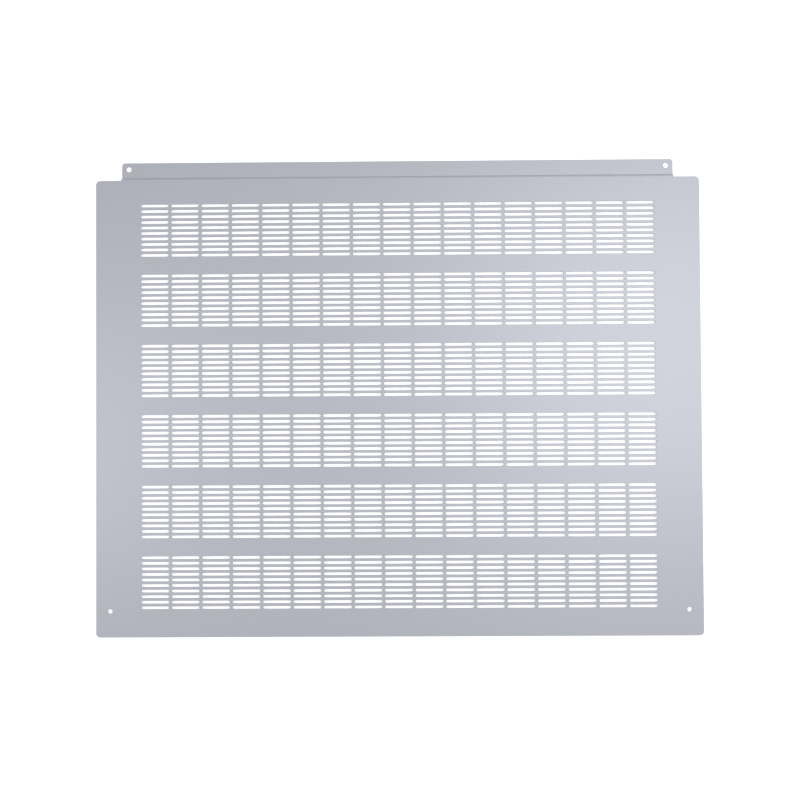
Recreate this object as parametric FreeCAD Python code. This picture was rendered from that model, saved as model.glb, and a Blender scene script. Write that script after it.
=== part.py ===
import FreeCAD, Part
import math
import os

# Ventilated panel of sheet steel, made as one piece. Bands of obround slots are
# pierced through the flat main face, and a narrower flange along its upper edge
# is joggled back, so that it can tuck behind the sheet above.
#
# The panel lies on its back. X runs along its width, +Y towards the flange and
# +Z out of the front face. The origin is under the middle of its outline, on
# the plane of the flange's back. All sizes are in millimetres.

sheet_thickness = 1.5

# Each slot is an obround that lies along X. The web is the metal left between
# slots end to end, and the bar is the metal left between slots side by side.
slot_length = 30.0
slot_width = 3.0
slot_web = 3.0
slot_bar = 3.0
slots_across = 17
slots_in_band = 10

# Bands of slots, one above the other, with plain strips between them.
band_count = 6
band_gap = 19.5

# Plain margins from the outermost slots to the edges of the main face.
side_margin = 49.0
lower_margin = 30.25
upper_margin = 26.25
main_corner_radius = 4.5

# The flange is narrower than the main face by a notch at each side.
flange_notch = 27.5
flange_rise = 20.0
flange_corner_radius = 3.5

# The joggle that steps the flange back: two equal and opposite bends.
joggle_depth = 3.0
joggle_angle = 60.0
bend_inner_radius = 1.0

# Fixing holes, placed from the nearest edges to their centres.
fixing_hole_diameter = 5.5
flange_hole_from_side = 7.5
flange_hole_from_top = 7.0
lower_hole_from_side = 15.0
lower_hole_from_bottom = 28.0

# Sizes worked out from those above.
band_height = slots_in_band * slot_width + (slots_in_band - 1) * slot_bar
field_width = slots_across * slot_length + (slots_across - 1) * slot_web
field_height = band_count * band_height + (band_count - 1) * band_gap
main_width = field_width + 2 * side_margin
main_height = lower_margin + field_height + upper_margin
flange_width = main_width - 2 * flange_notch

# Places of the main face and the flange along Y and Z.
bottom_edge = -(main_height + flange_rise) / 2
shoulder = bottom_edge + main_height
top_edge = shoulder + flange_rise
main_back = joggle_depth
flange_front = sheet_thickness


def joined(curves):
    """One wire from curves that follow each other end to end."""
    return Part.Wire([curve.toShape() for curve in curves])


def on_sheet(x, y):
    """A point of the flat pattern, which is drawn on the main face's back."""
    return FreeCAD.Vector(x, y, main_back)


# The outer outline runs anticlockwise, and the holes through it run clockwise.


def main_outline():
    """The rectangle through the centres of the corners, offset outwards by their radius."""
    right = main_width / 2 - main_corner_radius
    lower = bottom_edge + main_corner_radius
    upper = shoulder - main_corner_radius
    centres = [
        on_sheet(-right, lower),
        on_sheet(right, lower),
        on_sheet(right, upper),
        on_sheet(-right, upper),
        on_sheet(-right, lower),
    ]
    return Part.makePolygon(centres).makeOffset2D(main_corner_radius)


def slot_outline(x, y):
    """Two straight sides and two half round ends, centred at x, y."""
    end_radius = slot_width / 2
    left = x - slot_length / 2 + end_radius
    right = x + slot_length / 2 - end_radius
    lower = y - end_radius
    upper = y + end_radius
    return joined([
        Part.Arc(on_sheet(left, lower), on_sheet(left - end_radius, y), on_sheet(left, upper)),
        Part.LineSegment(on_sheet(left, upper), on_sheet(right, upper)),
        Part.Arc(on_sheet(right, upper), on_sheet(right + end_radius, y), on_sheet(right, lower)),
        Part.LineSegment(on_sheet(right, lower), on_sheet(left, lower)),
    ])


def slot_outlines():
    """Every slot, from the lowest row of the lowest band upwards."""
    first_x = -field_width / 2 + slot_length / 2
    first_y = bottom_edge + lower_margin + slot_width / 2
    outlines = []
    for band in range(band_count):
        band_y = first_y + band * (band_height + band_gap)
        for row in range(slots_in_band):
            row_y = band_y + row * (slot_width + slot_bar)
            for column in range(slots_across):
                outlines.append(slot_outline(first_x + column * (slot_length + slot_web), row_y))
    return outlines


def lower_hole_outlines():
    """The two fixing holes in the lower corners of the main face."""
    x = main_width / 2 - lower_hole_from_side
    y = bottom_edge + lower_hole_from_bottom
    clockwise = FreeCAD.Vector(0, 0, -1)
    radius = fixing_hole_diameter / 2
    return [joined([Part.Circle(on_sheet(side * x, y), clockwise, radius)]) for side in (-1, 1)]


def main_face():
    """The flat main face, with its slots and lower fixing holes pierced through it."""
    pierced = Part.Face([main_outline()] + slot_outlines() + lower_hole_outlines())
    return pierced.extrude(FreeCAD.Vector(0, 0, sheet_thickness))


def on_bend(centre, radius, degrees):
    """The point of one surface of a bend that lies at an angle about its centre."""
    angle = math.radians(degrees)
    return centre + FreeCAD.Vector(0, radius * math.cos(angle), radius * math.sin(angle))


def bend(centre, radius, start, end):
    """One surface of a bend, from one angle about its centre to another."""
    middle = (start + end) / 2
    return Part.Arc(
        on_bend(centre, radius, start),
        on_bend(centre, radius, middle),
        on_bend(centre, radius, end),
    )


def joggled_flange():
    """The flange with its joggle, from the edge of the main face to the top edge."""
    inner = bend_inner_radius
    outer = bend_inner_radius + sheet_thickness
    angle = math.radians(joggle_angle)
    # The straight web between the bends takes up what they leave of the depth.
    web_depth = joggle_depth - (inner + outer) * (1 - math.cos(angle))
    joggle_length = (inner + outer) * math.sin(angle) + web_depth / math.tan(angle)
    side = -flange_width / 2
    # The first bend turns back about a centre behind the sheet, and the second
    # turns up again about a centre in front of it.
    first = FreeCAD.Vector(side, shoulder, main_back - inner)
    second = FreeCAD.Vector(side, shoulder + joggle_length, flange_front + inner)
    first_end = 90 - joggle_angle
    second_start = 270 - joggle_angle
    front_corner = FreeCAD.Vector(side, top_edge, flange_front)
    back_corner = FreeCAD.Vector(side, top_edge, 0)
    profile = joined([
        bend(first, outer, 90, first_end),
        Part.LineSegment(on_bend(first, outer, first_end), on_bend(second, inner, second_start)),
        bend(second, inner, second_start, 270),
        Part.LineSegment(on_bend(second, inner, 270), front_corner),
        Part.LineSegment(front_corner, back_corner),
        Part.LineSegment(back_corner, on_bend(second, outer, 270)),
        bend(second, outer, 270, second_start),
        Part.LineSegment(on_bend(second, outer, second_start), on_bend(first, inner, first_end)),
        bend(first, inner, first_end, 90),
        Part.LineSegment(on_bend(first, inner, 90), on_bend(first, outer, 90)),
    ])
    flange = Part.Face(profile).extrude(FreeCAD.Vector(flange_width, 0, 0))
    top_corners = [
        edge for edge in flange.Edges
        if edge.BoundBox.XLength < 0.01 and edge.BoundBox.YMin > top_edge - 0.01
    ]
    return flange.makeFillet(flange_corner_radius, top_corners)


def flange_hole_cutters():
    """Round cutters for the fixing holes at the two ends of the flange."""
    x = flange_width / 2 - flange_hole_from_side
    y = top_edge - flange_hole_from_top
    radius = fixing_hole_diameter / 2
    return [Part.makeCylinder(radius, flange_front, FreeCAD.Vector(side * x, y, 0)) for side in (-1, 1)]


def ventilated_panel():
    """The whole panel as one solid."""
    flange = joggled_flange().cut(flange_hole_cutters())
    return main_face().fuse(flange).Solids[0]


os.makedirs("parts", exist_ok=True)
panel = ventilated_panel()
panel.exportStep("parts/vent_panel.step")
print("main face", main_width, "by", main_height, "mm")
print("flange", flange_width, "by", flange_rise, "mm")
print("faces", len(panel.Faces), "volume", round(panel.Volume), "mm3")
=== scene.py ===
"""Dresses the ventilated sheet steel panel: its pressed sheet, its powder coat and a plain studio."""

from __future__ import annotations

import logging
import math
from dataclasses import dataclass, field
from enum import Enum

import bmesh
import bpy
from bmesh.types import BMEdge, BMesh, BMFace, BMVert
from mathutils import Euler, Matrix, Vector

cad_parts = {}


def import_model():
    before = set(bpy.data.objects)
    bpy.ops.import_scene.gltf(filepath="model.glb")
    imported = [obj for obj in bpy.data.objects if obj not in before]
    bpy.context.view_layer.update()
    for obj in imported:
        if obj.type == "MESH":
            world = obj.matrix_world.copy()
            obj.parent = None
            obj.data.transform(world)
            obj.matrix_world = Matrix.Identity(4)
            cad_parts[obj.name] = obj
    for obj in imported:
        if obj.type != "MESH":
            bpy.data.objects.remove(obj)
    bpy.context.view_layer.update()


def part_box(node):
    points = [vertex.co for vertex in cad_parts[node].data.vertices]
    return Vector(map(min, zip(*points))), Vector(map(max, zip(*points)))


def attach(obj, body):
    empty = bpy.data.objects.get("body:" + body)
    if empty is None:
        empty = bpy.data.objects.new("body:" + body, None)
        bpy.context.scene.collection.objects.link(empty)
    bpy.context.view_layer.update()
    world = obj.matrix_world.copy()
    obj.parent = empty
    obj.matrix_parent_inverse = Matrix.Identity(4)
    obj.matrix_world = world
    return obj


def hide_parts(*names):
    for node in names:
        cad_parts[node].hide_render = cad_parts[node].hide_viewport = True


logging.basicConfig(level=logging.INFO, format="%(message)s")
log = logging.getLogger("panel")

PANEL_NODE = "vent_panel"

# One millimetre in metres, and the gap under which two points count as one.
MM = 0.001
SAME_PLACE = 0.001 * MM
# How near a cut a corner has to be for the cut to go through it.
ON_THE_CUT = 0.0001 * MM
# A face whose normal stands this upright belongs to a flat stretch of the sheet.
UPRIGHT_NORMAL = 0.9999
FULL_TURN = 360.0

# Places of the two colours among a colour mix's inputs, and of the result among its outputs.
MIX_FROM = 6
MIX_TO = 7
MIX_RESULT = 2


class Surface(Enum):
    """The two broad surfaces of the sheet, by the sign of their height above its middle."""

    FRONT = 1
    BACK = -1


def linear_colour(hex_code: str) -> tuple[float, float, float, float]:
    """Turns an sRGB colour into the linear values that shaders take.

    Args:
        hex_code: Six hexadecimal digits, red first.

    Returns:
        Linear red, green and blue with an alpha of 1.
    """
    channels = []
    for start in (0, 2, 4):
        value = int(hex_code[start:start + 2], 16) / 255
        # The sRGB standard's own curve: a short straight stretch, and then a power.
        channels.append(value / 12.92 if value <= 0.04045 else ((value + 0.055) / 1.055) ** 2.4)
    return (*channels, 1.0)


def add_node(
    tree: bpy.types.NodeTree,
    kind: str,
    settings: dict[str, object] | None = None,
    inputs: dict[str | int, object] | None = None,
) -> bpy.types.Node:
    """Adds one node, sets it up and links it.

    Args:
        tree: The node tree to add to.
        kind: Blender's type name of the node.
        settings: Attributes of the node itself.
        inputs: Values or output sockets for its input sockets, by name or by place.

    Returns:
        The new node.
    """
    node = tree.nodes.new(kind)
    for name, value in (settings or {}).items():
        setattr(node, name, value)
    for name, value in (inputs or {}).items():
        socket = node.inputs[name]
        if isinstance(value, bpy.types.NodeSocket):
            tree.links.new(value, socket)
        else:
            socket.default_value = value
    return node


def blank_material(name: str) -> tuple[bpy.types.Material, bpy.types.NodeTree]:
    """Makes a node material with nothing in it.

    Args:
        name: The material's name.

    Returns:
        The material and its empty node tree.
    """
    material = bpy.data.materials.new(name)
    material.use_nodes = True
    material.node_tree.nodes.clear()
    return material, material.node_tree


def cells_per_metre(size: float) -> float:
    """Scale of a noise texture whose cells have a real size.

    Args:
        size: The size of one cell in millimetres.

    Returns:
        The scale on Object coordinates, which are in metres.
    """
    return 1 / (size * MM)


def scene_object(name: str, mesh: BMesh) -> bpy.types.Object:
    """Turns a finished mesh into an object of the scene.

    Args:
        name: The name of the object and of its mesh.
        mesh: The mesh, in its place in the scene. It is freed.

    Returns:
        The object, at the origin and with no material.
    """
    data = bpy.data.meshes.new(name)
    mesh.to_mesh(data)
    mesh.free()
    made = bpy.data.objects.new(name, data)
    bpy.context.scene.collection.objects.link(made)
    return made


def with_edges_and_faces(corners: list[BMVert]) -> list[BMVert | BMEdge | BMFace]:
    """Gathers some corners with everything that joins them.

    Args:
        corners: The corners of whole pieces of a mesh.

    Returns:
        The corners, their edges and their faces, each once.
    """
    edges = {edge for corner in corners for edge in corner.link_edges}
    faces = {face for corner in corners for face in corner.link_faces}
    return [*corners, *edges, *faces]


@dataclass(frozen=True)
class SatinPowderCoat:
    """Silver-grey polyester powder coat, sprayed on sheet steel and stoved.

    The eye gets a smooth satin grey with a cool cast, a faint orange peel where
    the powder flowed out, and fine flake that makes it read as metal.
    """

    colour: str = "C3C5CF"
    pale_flake: str = "CDCFD9"
    metallic: float = 0.1
    roughness: float = 0.45
    # All sizes are in millimetres. The real flake is about 0.05 mm across, and is
    # drawn as coarse as it needs to show.
    flake_size: float = 0.45
    peel_size: float = 2.2
    peel_height: float = 0.006
    # The slow swell of a thin sheet between its bands of slots.
    swell_size: float = 160.0
    swell_height: float = 0.12
    # One faint worn spot below the right end of the flange, placed from the panel's origin.
    nick_colour: str = "7C7E86"
    nick_place: tuple[float, float, float] = (264.0, 231.0, 4.5)
    nick_radius: float = 0.8
    # Finer octaves on top of each noise.
    detail: float = 1.0
    peel_detail: float = 2.0

    def nick(self, tree: bpy.types.NodeTree, place: bpy.types.NodeSocket) -> bpy.types.NodeSocket:
        """Adds the mask of the worn spot, whose rim is ragged.

        Args:
            tree: The material's node tree.
            place: Object coordinates in metres.

        Returns:
            A value of 1 in the middle of the spot that falls to 0 at its rim.
        """
        ragged = add_node(tree, "ShaderNodeTexNoise", inputs={
            "Vector": place,
            "Scale": cells_per_metre(self.nick_radius),
            "Detail": self.detail,
        })
        # The noise is a half on average, so twice the radius times it reaches the radius.
        reach = add_node(tree, "ShaderNodeMath", {"operation": "MULTIPLY"}, {
            0: ragged.outputs["Fac"],
            1: 2 * self.nick_radius * MM,
        })
        distance = add_node(tree, "ShaderNodeVectorMath", {"operation": "DISTANCE"}, {
            0: place,
            1: Vector(self.nick_place) * MM,
        })
        mask = add_node(tree, "ShaderNodeMapRange", inputs={
            "Value": distance.outputs["Value"],
            "From Min": reach.outputs["Value"],
            "From Max": 0.0,
        })
        return mask.outputs["Result"]

    def material(self) -> bpy.types.Material:
        """Builds the coat's material, with every pattern on Object coordinates.

        Returns:
            The material.
        """
        material, tree = blank_material("satin_grey_powder_coat_on_steel")
        place = add_node(tree, "ShaderNodeTexCoord").outputs["Object"]
        flake = add_node(tree, "ShaderNodeTexNoise", inputs={
            "Vector": place,
            "Scale": cells_per_metre(self.flake_size),
            "Detail": self.detail,
        })
        tone = add_node(tree, "ShaderNodeMix", {"data_type": "RGBA"}, {
            "Factor": flake.outputs["Fac"],
            MIX_FROM: linear_colour(self.colour),
            MIX_TO: linear_colour(self.pale_flake),
        })
        worn = add_node(tree, "ShaderNodeMix", {"data_type": "RGBA"}, {
            "Factor": self.nick(tree, place),
            MIX_FROM: tone.outputs[MIX_RESULT],
            MIX_TO: linear_colour(self.nick_colour),
        })
        swell = add_node(tree, "ShaderNodeTexNoise", inputs={
            "Vector": place,
            "Scale": cells_per_metre(self.swell_size),
            "Detail": self.detail,
        })
        swell_bump = add_node(tree, "ShaderNodeBump", inputs={
            "Height": swell.outputs["Fac"],
            "Distance": self.swell_height * MM,
            "Strength": 1.0,
        })
        peel = add_node(tree, "ShaderNodeTexNoise", inputs={
            "Vector": place,
            "Scale": cells_per_metre(self.peel_size),
            "Detail": self.peel_detail,
        })
        peel_bump = add_node(tree, "ShaderNodeBump", inputs={
            "Height": peel.outputs["Fac"],
            "Distance": self.peel_height * MM,
            "Strength": 1.0,
            "Normal": swell_bump.outputs["Normal"],
        })
        coat = add_node(tree, "ShaderNodeBsdfPrincipled", inputs={
            "Base Color": worn.outputs[MIX_RESULT],
            "Metallic": self.metallic,
            "Roughness": self.roughness,
            "Normal": peel_bump.outputs["Normal"],
        })
        add_node(tree, "ShaderNodeOutputMaterial", inputs={"Surface": coat.outputs["BSDF"]})
        return material


@dataclass(frozen=True)
class Joggle:
    """The step that sets the flange back, as the path of the middle of the sheet.

    All sizes are in millimetres, and distances along the path start at the edge
    of the main face, where the first bend begins.
    """

    depth: float = 3.0
    angle: float = math.radians(60)
    inner_radius: float = 1.0
    thickness: float = 1.5
    steps_per_bend: int = 6

    def web_length(self) -> float:
        """Length of the straight web between the two bends."""
        radii = 2 * self.inner_radius + self.thickness
        return (self.depth - radii * (1 - math.cos(self.angle))) / math.sin(self.angle)

    def bend_length(self) -> float:
        """Length of the middle of the sheet round one bend."""
        return (self.inner_radius + self.thickness / 2) * self.angle

    def length(self) -> float:
        """Length of the middle of the sheet along the whole joggle."""
        return 2 * self.bend_length() + self.web_length()

    def cuts(self) -> list[float]:
        """Finds where the flat sheet is cut across so that it can bend.

        Returns:
            Distances along the path, from the start of the first bend to the end of the second.
        """
        step = self.bend_length() / self.steps_per_bend
        first = [step * count for count in range(self.steps_per_bend + 1)]
        second_start = self.bend_length() + self.web_length()
        return first + [second_start + distance for distance in first]

    def folded(self, distance: float, height: float) -> tuple[float, float]:
        """Finds where a point of the flat sheet goes when the joggle is pressed.

        Args:
            distance: How far the point lies past the start of the joggle.
            height: How far it lies in front of the middle of the sheet.

        Returns:
            Its place past the start, and its height above the main face's middle.
        """
        middle_radius = self.inner_radius + self.thickness / 2
        turn = min(distance, self.bend_length()) / middle_radius
        along = (middle_radius + height) * math.sin(turn)
        rise = (middle_radius + height) * math.cos(turn) - middle_radius
        if distance <= self.bend_length():
            return along, rise
        web = min(distance - self.bend_length(), self.web_length())
        along += web * math.cos(self.angle)
        rise -= web * math.sin(self.angle)
        if distance <= self.bend_length() + self.web_length():
            return along, rise
        past = distance - self.bend_length() - self.web_length()
        back_turn = self.angle - min(past, self.bend_length()) / middle_radius
        along += (middle_radius - height) * (math.sin(self.angle) - math.sin(back_turn))
        rise += (middle_radius - height) * (math.cos(self.angle) - math.cos(back_turn))
        return along + max(past - self.bend_length(), 0.0), rise


@dataclass
class EdgeSweep:
    """Sweeps the section of a cut edge round an outline, with the metal always on its left.

    Lengths are in millimetres. The section runs from the front of the sheet to
    its back, as distances into the metal and heights from the sheet's middle.
    """

    mesh: BMesh
    section: list[tuple[float, float]]
    place: Vector
    heading: float = 0.0
    edges: list[BMEdge] = field(init=False)

    def __post_init__(self) -> None:
        """Draws the section at the start."""
        corners = []
        for into_metal, height in self.section:
            spot = self.place + self.left() * into_metal + Vector((0, 0, height))
            corners.append(self.mesh.verts.new(spot * MM))
        self.edges = [self.mesh.edges.new(pair) for pair in zip(corners, corners[1:])]

    def left(self) -> Vector:
        """Direction from the cut edge into the metal."""
        return Vector((-math.sin(self.heading), math.cos(self.heading), 0))

    def run(self, length: float) -> None:
        """Sweeps the section straight ahead.

        Args:
            length: How far to go.
        """
        step = Vector((math.cos(self.heading), math.sin(self.heading), 0)) * length
        swept = bmesh.ops.extrude_edge_only(self.mesh, edges=self.edges)["geom"]
        corners = [part for part in swept if isinstance(part, BMVert)]
        bmesh.ops.translate(self.mesh, verts=corners, vec=step * MM)
        moved = set(corners)
        self.edges = [part for part in swept if isinstance(part, BMEdge) and moved.issuperset(part.verts)]
        self.place = self.place + step

    def turn(self, radius: float, degrees: float, steps: int) -> None:
        """Sweeps the section round an arc.

        Args:
            radius: The arc's radius at the cut edge.
            degrees: How far to turn, positive to the left and negative to the right.
            steps: Straight pieces that the arc is made of.
        """
        side = math.copysign(1, degrees)
        centre = self.place + self.left() * side * radius
        corners = {corner for edge in self.edges for corner in edge.verts}
        swept = bmesh.ops.spin(
            self.mesh,
            geom=[*corners, *self.edges],
            cent=centre * MM,
            axis=(0, 0, 1),
            angle=math.radians(degrees),
            steps=steps,
            use_merge=abs(degrees) == FULL_TURN,
        )["geom_last"]
        self.edges = [part for part in swept if isinstance(part, BMEdge)]
        self.heading += math.radians(degrees)
        self.place = centre - self.left() * side * radius


@dataclass
class VentPanel:
    """The panel's one sheet: cut flat with all its holes, and then pressed to shape.

    The box that it fills comes from the frame, in metres. The other sizes are in
    millimetres.
    """

    low: Vector
    high: Vector
    joggle: Joggle = Joggle()
    # The flange is narrower than the main face by a notch at each side, whose inner
    # corner is a little round, as the punch leaves it.
    flange_rise: float = 20.0
    flange_notch: float = 27.5
    corner_radius: float = 4.5
    flange_corner_radius: float = 3.5
    notch_radius: float = 0.5
    # Slots lie along X. The web is the metal between them end to end, and the bar
    # side by side. They stand in bands, with plain strips between the bands.
    slot_length: float = 30.0
    slot_width: float = 3.0
    slot_web: float = 3.0
    slot_bar: float = 3.0
    slots_across: int = 17
    slots_in_band: int = 10
    band_count: int = 6
    band_gap: float = 19.5
    lower_margin: float = 30.25
    # Fixing holes, placed from the nearest edges to their centres.
    hole_diameter: float = 5.5
    flange_hole_from_side: float = 7.5
    flange_hole_from_top: float = 7.0
    lower_hole_from_side: float = 15.0
    lower_hole_from_bottom: float = 28.0
    # The punch draws the front edge in a little, and the coat eases the back edge.
    front_edge: float = 0.3
    back_edge: float = 0.12
    steps_per_slot_end: int = 6
    steps_per_corner: int = 8
    steps_per_hole: int = 32

    def half_width(self) -> float:
        """Half the width of the main face."""
        return self.high.x / MM

    def bottom(self) -> float:
        """Place of the bottom edge along Y."""
        return self.low.y / MM

    def shoulder(self) -> float:
        """Place of the main face's upper edge along Y, where the joggle starts."""
        return self.high.y / MM - self.flange_rise

    def flat_top(self) -> float:
        """Finds how far the flange reaches before the joggle draws it in.

        Returns:
            Place of the flat sheet's top edge along Y.
        """
        joggle = self.joggle
        folded_length = joggle.folded(joggle.length(), 0)[0]
        return self.high.y / MM + joggle.length() - folded_length

    def edge_section(self) -> list[tuple[float, float]]:
        """Draws the section of every cut edge.

        Returns:
            Distances into the metal and heights above the sheet's middle, from the front
            surface to the back surface.
        """
        half = self.joggle.thickness / 2
        return [
            (self.front_edge, half),
            (0.0, half - self.front_edge),
            (0.0, self.back_edge - half),
            (self.back_edge, -half),
        ]

    def cut_outline(self, mesh: BMesh) -> None:
        """Sweeps the cut edge round the outside of the flat sheet.

        Args:
            mesh: The mesh to draw in.
        """
        radius = self.corner_radius
        flange_radius = self.flange_corner_radius
        inner = self.notch_radius
        width = 2 * self.half_width()
        height = self.shoulder() - self.bottom()
        flange_width = width - 2 * self.flange_notch
        flange_side = self.flat_top() - self.shoulder() - inner - flange_radius
        start = Vector((radius - self.half_width(), self.bottom(), 0))
        sweep = EdgeSweep(mesh, self.edge_section(), start)
        sweep.run(width - 2 * radius)
        sweep.turn(radius, 90, self.steps_per_corner)
        sweep.run(height - 2 * radius)
        sweep.turn(radius, 90, self.steps_per_corner)
        sweep.run(self.flange_notch - radius - inner)
        sweep.turn(inner, -90, self.steps_per_corner)
        sweep.run(flange_side)
        sweep.turn(flange_radius, 90, self.steps_per_corner)
        sweep.run(flange_width - 2 * flange_radius)
        sweep.turn(flange_radius, 90, self.steps_per_corner)
        sweep.run(flange_side)
        sweep.turn(inner, -90, self.steps_per_corner)
        sweep.run(self.flange_notch - radius - inner)
        sweep.turn(radius, 90, self.steps_per_corner)
        sweep.run(height - 2 * radius)
        sweep.turn(radius, 90, self.steps_per_corner)

    def cut_slots(self, mesh: BMesh) -> None:
        """Sweeps one slot's cut edge, and repeats it along a row, up a band and up the sheet.

        Args:
            mesh: The mesh to draw in.
        """
        radius = self.slot_width / 2
        straight = self.slot_length - self.slot_width
        pitch_x = self.slot_length + self.slot_web
        pitch_y = self.slot_width + self.slot_bar
        band_pitch = self.slots_in_band * pitch_y - self.slot_bar + self.band_gap
        first_x = -(self.slots_across - 1) / 2 * pitch_x
        first_y = self.bottom() + self.lower_margin + radius
        known = set(mesh.verts)
        sweep = EdgeSweep(mesh, self.edge_section(), Vector((first_x - straight / 2, first_y + radius, 0)))
        for _ in range(2):
            sweep.run(straight)
            sweep.turn(radius, -180, self.steps_per_slot_end)
        for copies, step in (
            (self.slots_across, Vector((pitch_x, 0, 0))),
            (self.slots_in_band, Vector((0, pitch_y, 0))),
            (self.band_count, Vector((0, band_pitch, 0))),
        ):
            drawn = [corner for corner in mesh.verts if corner not in known]
            pattern = with_edges_and_faces(drawn)
            for copy in range(1, copies):
                made = bmesh.ops.duplicate(mesh, geom=pattern)["geom"]
                corners = [part for part in made if isinstance(part, BMVert)]
                bmesh.ops.translate(mesh, verts=corners, vec=step * copy * MM)

    def cut_holes(self, mesh: BMesh) -> None:
        """Sweeps the cut edges of the four fixing holes.

        Args:
            mesh: The mesh to draw in.
        """
        radius = self.hole_diameter / 2
        flange_x = self.half_width() - self.flange_notch - self.flange_hole_from_side
        flange_y = self.flat_top() - self.flange_hole_from_top
        lower_x = self.half_width() - self.lower_hole_from_side
        lower_y = self.bottom() + self.lower_hole_from_bottom
        for x, y in ((flange_x, flange_y), (lower_x, lower_y)):
            for side in (-1, 1):
                sweep = EdgeSweep(mesh, self.edge_section(), Vector((side * x, y + radius, 0)))
                sweep.turn(radius, -FULL_TURN, self.steps_per_hole)

    def fill_surface(self, mesh: BMesh, surface: Surface) -> None:
        """Spans one broad surface of the flat sheet between all its cut edges.

        Args:
            mesh: The mesh that holds the cut edges.
            surface: Which surface to fill.
        """
        height = surface.value * self.joggle.thickness / 2 * MM
        rims = [
            edge for edge in mesh.edges
            if edge.is_boundary and all(abs(corner.co.z - height) < SAME_PLACE for corner in edge.verts)
        ]
        bmesh.ops.triangle_fill(mesh, use_beauty=True, edges=rims, normal=(0, 0, surface.value))

    def press_joggle(self, mesh: BMesh) -> None:
        """Cuts the flat flange across at its bends, and folds it back.

        Args:
            mesh: The flat sheet.
        """
        for distance in self.joggle.cuts():
            line = Vector((0, self.shoulder() + distance, 0)) * MM
            # Only faces that reach past the line can be cut by it, so the rest are left out.
            beyond = [corner for corner in mesh.verts if corner.co.y > line.y]
            faces = {face for corner in beyond for face in corner.link_faces}
            edges = {edge for face in faces for edge in face.edges}
            corners = {corner for face in faces for corner in face.verts}
            bmesh.ops.bisect_plane(
                mesh,
                geom=[*corners, *edges, *faces],
                dist=ON_THE_CUT,
                plane_co=line,
                plane_no=(0, 1, 0),
            )
        for corner in mesh.verts:
            past = corner.co.y / MM - self.shoulder()
            if past > 0:
                along, rise = self.joggle.folded(past, corner.co.z / MM)
                corner.co.y = (self.shoulder() + along) * MM
                corner.co.z = rise * MM

    def build(self) -> bpy.types.Object:
        """Builds the sheet in place, with its front face up.

        Returns:
            The finished object, at the origin and with no material.
        """
        mesh = bmesh.new()
        self.cut_slots(mesh)
        self.cut_holes(mesh)
        self.cut_outline(mesh)
        bmesh.ops.remove_doubles(mesh, verts=mesh.verts[:], dist=SAME_PLACE)
        for surface in Surface:
            self.fill_surface(mesh, surface)
        self.press_joggle(mesh)
        bmesh.ops.recalc_face_normals(mesh, faces=mesh.faces[:])
        middle = self.joggle.depth + self.joggle.thickness / 2
        bmesh.ops.translate(mesh, verts=mesh.verts[:], vec=Vector((0, 0, middle)) * MM)
        for face in mesh.faces:
            # Flat stretches are shaded flat, and cut edges and bends smooth.
            face.smooth = abs(face.normal.z) < UPRIGHT_NORMAL
        return scene_object("vent_sheet", mesh)

    def dress(self, sheet: bpy.types.Object, coat: SatinPowderCoat) -> None:
        """Coats the sheet, and lets it stand for the frame's panel.

        Args:
            sheet: The finished sheet.
            coat: Its finish.
        """
        sheet.data.materials.append(coat.material())
        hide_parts(PANEL_NODE)
        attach(sheet, "root")


def background_ray(tree: bpy.types.NodeTree) -> bpy.types.NodeSocket:
    """Adds the test for rays that show the background: seen, mirrored or through glass.

    Args:
        tree: The node tree to add to.

    Returns:
        A value of 1 for such rays and 0 for rays that only bring light.
    """
    path = add_node(tree, "ShaderNodeLightPath")
    mirrored = add_node(tree, "ShaderNodeMath", {"operation": "MAXIMUM"}, {
        0: path.outputs["Is Camera Ray"],
        1: path.outputs["Is Glossy Ray"],
    })
    shown = add_node(tree, "ShaderNodeMath", {"operation": "MAXIMUM"}, {
        0: mirrored.outputs["Value"],
        1: path.outputs["Is Transmission Ray"],
    })
    return shown.outputs["Value"]


@dataclass(frozen=True)
class WhiteFloor:
    """Matt white paint on a board, which reads as a plain white ground with a soft shadow."""

    colour: str = "F4F4F4"
    # Half the floor's side in metres.
    half_size: float = 3.0
    # Light that the camera sees on top of the lit paint, so that open floor is white
    # and shade stays pale.
    glow: float = 0.65

    def material(self) -> bpy.types.Material:
        """Builds the floor's material.

        Returns:
            The material.
        """
        material, tree = blank_material("matt_white_paint_on_board")
        strength = add_node(tree, "ShaderNodeMath", {"operation": "MULTIPLY"}, {
            0: background_ray(tree),
            1: self.glow,
        })
        matt = add_node(tree, "ShaderNodeBsdfDiffuse", inputs={"Color": linear_colour(self.colour)})
        glow = add_node(tree, "ShaderNodeEmission", inputs={"Strength": strength.outputs["Value"]})
        both = add_node(tree, "ShaderNodeAddShader", inputs={
            0: matt.outputs["BSDF"],
            1: glow.outputs["Emission"],
        })
        add_node(tree, "ShaderNodeOutputMaterial", inputs={"Surface": both.outputs["Shader"]})
        return material

    def build(self, height: float) -> bpy.types.Object:
        """Lays the floor.

        Args:
            height: The floor's height in metres.

        Returns:
            The floor's object.
        """
        mesh = bmesh.new()
        bmesh.ops.create_grid(mesh, x_segments=1, y_segments=1, size=self.half_size)
        bmesh.ops.translate(mesh, verts=mesh.verts[:], vec=(0, 0, height))
        floor = scene_object("floor", mesh)
        floor.data.materials.append(self.material())
        return floor


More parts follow.
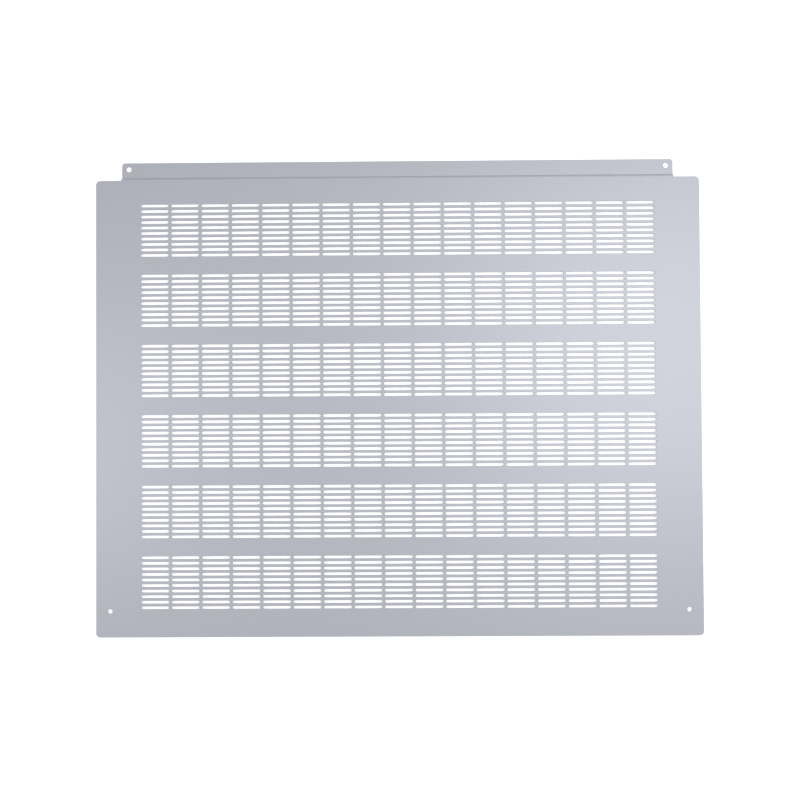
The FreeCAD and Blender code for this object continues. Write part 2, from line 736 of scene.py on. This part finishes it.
@dataclass(frozen=True)
class SoftBox:
    """A square area lamp that faces the panel's origin. Sizes are in metres and power in watts."""

    name: str
    place: tuple[float, float, float]
    size: float
    power: float

    def build(self) -> None:
        """Hangs the lamp."""
        lamp = bpy.data.lights.new(self.name, "AREA")
        lamp.shape = "SQUARE"
        lamp.size = self.size
        lamp.energy = self.power
        holder = bpy.data.objects.new(self.name, lamp)
        holder.location = self.place
        holder.rotation_euler = (-Vector(self.place)).to_track_quat("-Z", "Y").to_euler()
        holder.visible_camera = False
        bpy.context.scene.collection.objects.link(holder)


@dataclass
class Studio:
    """A plain white studio: floor, surrounding light, soft boxes and the camera above.

    Places are in metres, the camera's turn is in degrees and its lens in millimetres.
    """

    floor: WhiteFloor = WhiteFloor()
    # Strength of the light from all round, which the camera still sees as white.
    surround: float = 0.35
    lamps: tuple[SoftBox, ...] = (
        SoftBox("left_box", place=(-0.55, -0.07, 0.5), size=0.4, power=0.85),
        SoftBox("right_box", place=(0.45, 0.1, 0.75), size=0.6, power=3.2),
    )
    camera_place: tuple[float, float, float] = (0.0094, -0.0164, 0.9045)
    camera_turn: tuple[float, float, float] = (0.858, 0.464, -0.336)
    lens: float = 37.4

    def build_world(self) -> None:
        """Makes the surrounding light, which shows as white where it is seen."""
        world = bpy.data.worlds.new("studio_white")
        bpy.context.scene.world = world
        world.use_nodes = True
        tree = world.node_tree
        tree.nodes.clear()
        strength = add_node(tree, "ShaderNodeMapRange", inputs={
            "Value": background_ray(tree),
            "To Min": self.surround,
            "To Max": 1.0,
        })
        light = add_node(tree, "ShaderNodeBackground", inputs={
            "Color": linear_colour("FFFFFF"),
            "Strength": strength.outputs["Result"],
        })
        add_node(tree, "ShaderNodeOutputWorld", inputs={"Surface": light.outputs["Background"]})

    def build_camera(self) -> None:
        """Hangs the camera over the panel, looking almost straight down at its front face."""
        lens = bpy.data.cameras.new("camera")
        lens.lens = self.lens
        camera = bpy.data.objects.new("camera", lens)
        camera.location = self.camera_place
        camera.rotation_euler = Euler([math.radians(angle) for angle in self.camera_turn])
        bpy.context.scene.collection.objects.link(camera)
        bpy.context.scene.camera = camera

    def build(self, floor_height: float) -> None:
        """Builds the whole studio.

        Args:
            floor_height: The floor's height in metres.
        """
        self.floor.build(floor_height)
        self.build_world()
        for lamp in self.lamps:
            lamp.build()
        self.build_camera()
        bpy.context.scene.view_settings.view_transform = "Standard"


def main() -> None:
    """Builds the panel and its studio around the frame."""
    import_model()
    low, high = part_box(PANEL_NODE)
    panel = VentPanel(Vector(low), Vector(high))
    sheet = panel.build()
    panel.dress(sheet, SatinPowderCoat())
    log.info("%s: %d faces", sheet.name, len(sheet.data.polygons))
    Studio().build(low[2])
    log.info("studio: floor at %.4f m", low[2])


if __name__ == "__main__":
    main()
